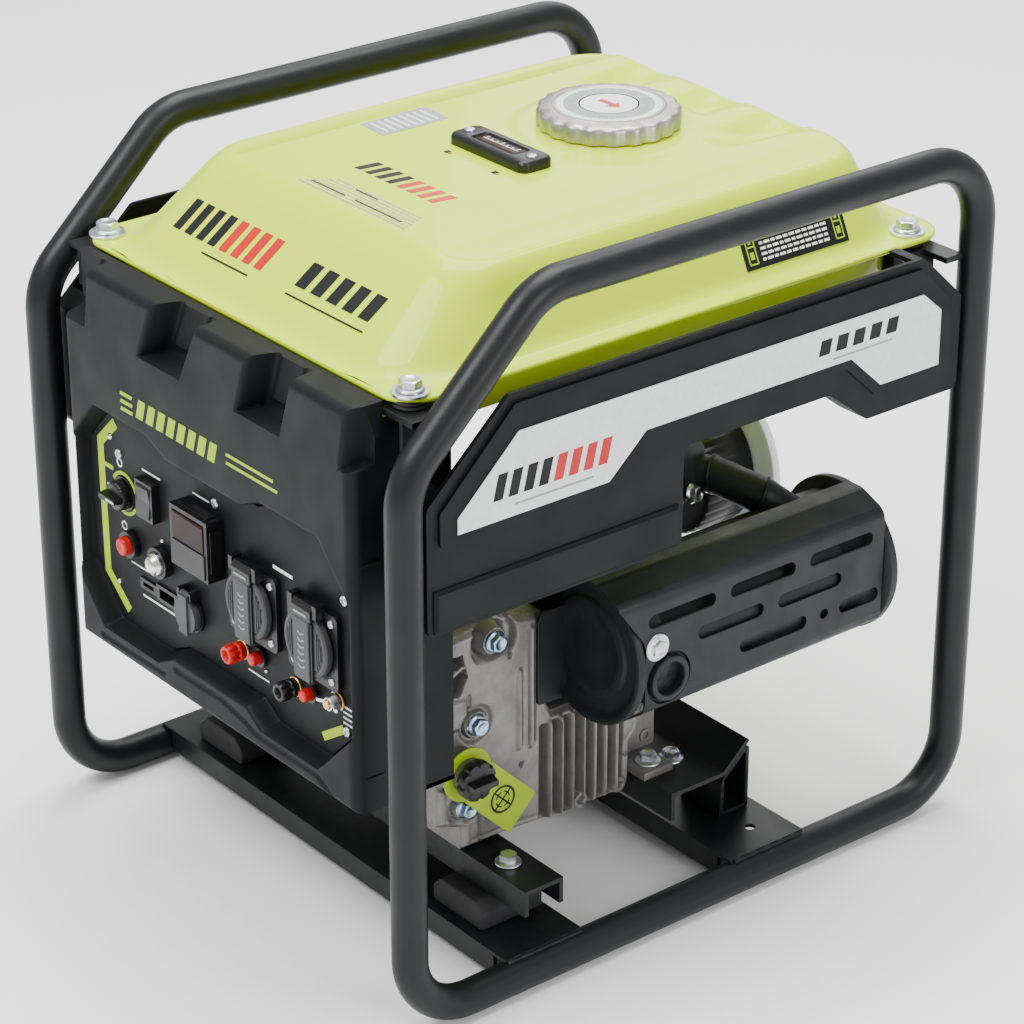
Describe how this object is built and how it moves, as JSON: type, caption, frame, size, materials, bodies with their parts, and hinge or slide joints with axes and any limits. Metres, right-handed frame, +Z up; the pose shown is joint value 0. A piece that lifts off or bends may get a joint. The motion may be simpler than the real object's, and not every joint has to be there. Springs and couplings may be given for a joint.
{
  "type": "inverter generator",
  "caption": "Portable petrol inverter generator in an open tube frame, with a pressed tank on top, a front control panel, side covers and a slotted muffler guard",
  "frame": {"origin": "on the floor, at the middle of the overall box", "axes": "+Z up, control panel faces -Y, muffler side +X"},
  "size_m": [0.3984, 0.4688, 0.4699],
  "materials": {
    "frame_paint": "semi-gloss black paint",
    "rubber": "matt black rubber",
    "zinc": "bright zinc plate",
    "tank_paint": "glossy lime paint",
    "cap_metal": "satin chrome",
    "gloss_black": "black moulded plastic",
    "panel_plastic": "dark grey textured plastic",
    "decal_film": "light grey film on plastic",
    "grey_plastic": "mid grey plastic",
    "smoked_plastic": "smoked brown plastic",
    "red_plastic": "red plastic",
    "stud_brass": "plain brass",
    "cast_alloy": "sand-cast aluminium",
    "engine_black": "black heat-resistant paint",
    "muffler_black": "matt black heat-resistant paint",
    "lime_plastic": "lime plastic",
    "rotor_iron": "plain cast iron"
  },
  "bodies": {
    "frame": {"ac_sockets": "gloss_black", "air_cleaner": "grey_plastic", "breaker_housing": "gloss_black", "carburettor": "cast_alloy", "control_bezels": "gloss_black", "control_plate": "panel_plastic", "crankcase": "cast_alloy", "crankcase_cover": "cast_alloy", "cylinder": "engine_black", "dc_outlets": "gloss_black", "decal_plates": "decal_film", "engine_bolts": "zinc", "exhaust_pipe": "muffler_black", "filler_neck": "tank_paint", "frame_bolts": "zinc", "front_cross_plate": "frame_paint", "front_engine_rail": "frame_paint", "front_panel": "panel_plastic", "fuel_gauge": "gloss_black", "inverter_module": "cast_alloy", "left_hoop": "frame_paint", "left_side_cover": "panel_plastic", "muffler_guard": "muffler_black", "muffler_shell": "muffler_black", "oil_tag": "lime_plastic", "panel_screws": "zinc", "rear_cross_plate": "frame_paint", "rear_engine_rail": "frame_paint", "recoil_housing": "panel_plastic", "right_hoop": "frame_paint", "right_side_cover": "panel_plastic", "rocker_cover": "engine_black", "rubber_mounts": "rubber", "spark_plug": "gloss_black", "stator": "rotor_iron", "tank_bolts": "zinc", "tank_brackets": "frame_paint", "tank_grommets": "rubber", "tank_lower_pan": "tank_paint", "tank_upper_shell": "tank_paint", "terminal_studs": "stud_brass"},
    "cap": {"fuel_cap": "cap_metal"},
    "selector": {"selector_knob": "gloss_black"},
    "rocker": {"rocker_paddle": "grey_plastic"},
    "stop": {"stop_button": "red_plastic"},
    "reset": {"reset_button": "cap_metal"},
    "ac_lid_inner": {"ac_cover_inner": "grey_plastic"},
    "ac_lid_outer": {"ac_cover_outer": "grey_plastic"},
    "dc_lid": {"dc_cover": "grey_plastic"},
    "breaker_door": {"breaker_window": "smoked_plastic"},
    "breaker_toggle": {"breaker_lever": "grey_plastic"},
    "post_red": {"post_knob_red": "red_plastic"},
    "post_black": {"post_knob_black": "gloss_black"},
    "ground": {"ground_nut": "zinc"},
    "dc_reset_red": {"dc_breaker_red": "red_plastic"},
    "dc_reset_dark": {"dc_breaker_dark": "red_plastic"},
    "oil_cap": {"oil_filler_cap": "gloss_black"},
    "crank": {"flywheel_rotor": "rotor_iron"},
    "pulley": {"rope_pulley": "panel_plastic"},
    "handle": {"recoil_handle": "panel_plastic"}
  },
  "joints": [
    {"name": "cap_turn", "type": "hinge", "parent": "frame", "child": "cap", "pos_m": [0, 0.083, 0.46], "axis": [0, 0, 1], "range_deg": [0, 90]},
    {"name": "selector_turn", "type": "hinge", "parent": "frame", "child": "selector", "pos_m": [-0.108, -0.224, 0.249], "axis": [0, -1, 0], "range_deg": [-45, 45]},
    {"name": "rocker_tilt", "type": "hinge", "parent": "frame", "child": "rocker", "pos_m": [-0.077, -0.221, 0.257], "axis": [1, 0, 0], "range_deg": [-8, 8]},
    {"name": "stop_press", "type": "slide", "parent": "frame", "child": "stop", "axis": [0, 1, 0], "range_m": [0, 0.0025], "stiffness_N_per_m": 400},
    {"name": "reset_press", "type": "slide", "parent": "frame", "child": "reset", "axis": [0, 1, 0], "range_m": [0, 0.003], "stiffness_N_per_m": 400},
    {"name": "ac_lid_inner_lift", "type": "hinge", "parent": "frame", "child": "ac_lid_inner", "pos_m": [0.0365, -0.228, 0.257], "axis": [-1, 0, 0], "range_deg": [0, 100], "stiffness_Nm_per_rad": 0.01, "springref_deg": -28.65},
    {"name": "ac_lid_outer_lift", "type": "hinge", "parent": "frame", "child": "ac_lid_outer", "pos_m": [0.098, -0.228, 0.257], "axis": [-1, 0, 0], "range_deg": [0, 100], "stiffness_Nm_per_rad": 0.01, "springref_deg": -28.65},
    {"name": "dc_lid_lift", "type": "hinge", "parent": "frame", "child": "dc_lid", "pos_m": [-0.034, -0.2255, 0.2095], "axis": [-1, 0, 0], "range_deg": [0, 100], "stiffness_Nm_per_rad": 0.003, "springref_deg": -28.65},
    {"name": "breaker_door_lift", "type": "hinge", "parent": "frame", "child": "breaker_door", "pos_m": [-0.017, -0.2322, 0.2688], "axis": [-1, 0, 0], "range_deg": [0, 95]},
    {"name": "breaker_toggle_tilt", "type": "hinge", "parent": "frame", "child": "breaker_toggle", "pos_m": [-0.017, -0.2235, 0.2605], "axis": [1, 0, 0], "range_deg": [-25, 25]},
    {"name": "post_red_turn", "type": "hinge", "parent": "frame", "child": "post_red", "pos_m": [0.02, -0.228, 0.192], "axis": [0, -1, 0], "range_deg": [0, 360]},
    {"name": "post_black_turn", "type": "hinge", "parent": "frame", "child": "post_black", "pos_m": [0.075, -0.228, 0.19], "axis": [0, -1, 0], "range_deg": [0, 360]},
    {"name": "ground_nut_turn", "type": "hinge", "parent": "frame", "child": "ground", "pos_m": [0.118, -0.226, 0.199], "axis": [0, -1, 0], "range_deg": [0, 360]},
    {"name": "dc_reset_red_press", "type": "slide", "parent": "frame", "child": "dc_reset_red", "axis": [0, 1, 0], "range_m": [0, 0.002], "stiffness_N_per_m": 400},
    {"name": "dc_reset_dark_press", "type": "slide", "parent": "frame", "child": "dc_reset_dark", "axis": [0, 1, 0], "range_m": [0, 0.002], "stiffness_N_per_m": 400},
    {"name": "oil_cap_turn", "type": "hinge", "parent": "frame", "child": "oil_cap", "pos_m": [0.138, -0.137, 0.125], "axis": [1, 0, 0], "range_deg": [0, 360]},
    {"name": "crank_spin", "type": "hinge", "parent": "frame", "child": "crank", "pos_m": [0, -0.06, 0.15], "axis": [1, 0, 0], "continuous": true},
    {"name": "handle_pull", "type": "slide", "parent": "frame", "child": "handle", "axis": [-1, 0, 0], "range_m": [0, 0.5], "stiffness_N_per_m": 20},
    {"name": "pulley_spin", "type": "hinge", "parent": "frame", "child": "pulley", "pos_m": [-0.17, -0.06, 0.15], "axis": [1, 0, 0], "range_deg": [0, 716.2]}
  ],
  "couplings": [
    {"joint": "pulley_spin", "follows": "handle_pull", "rad_per_m": 25}
  ]
}
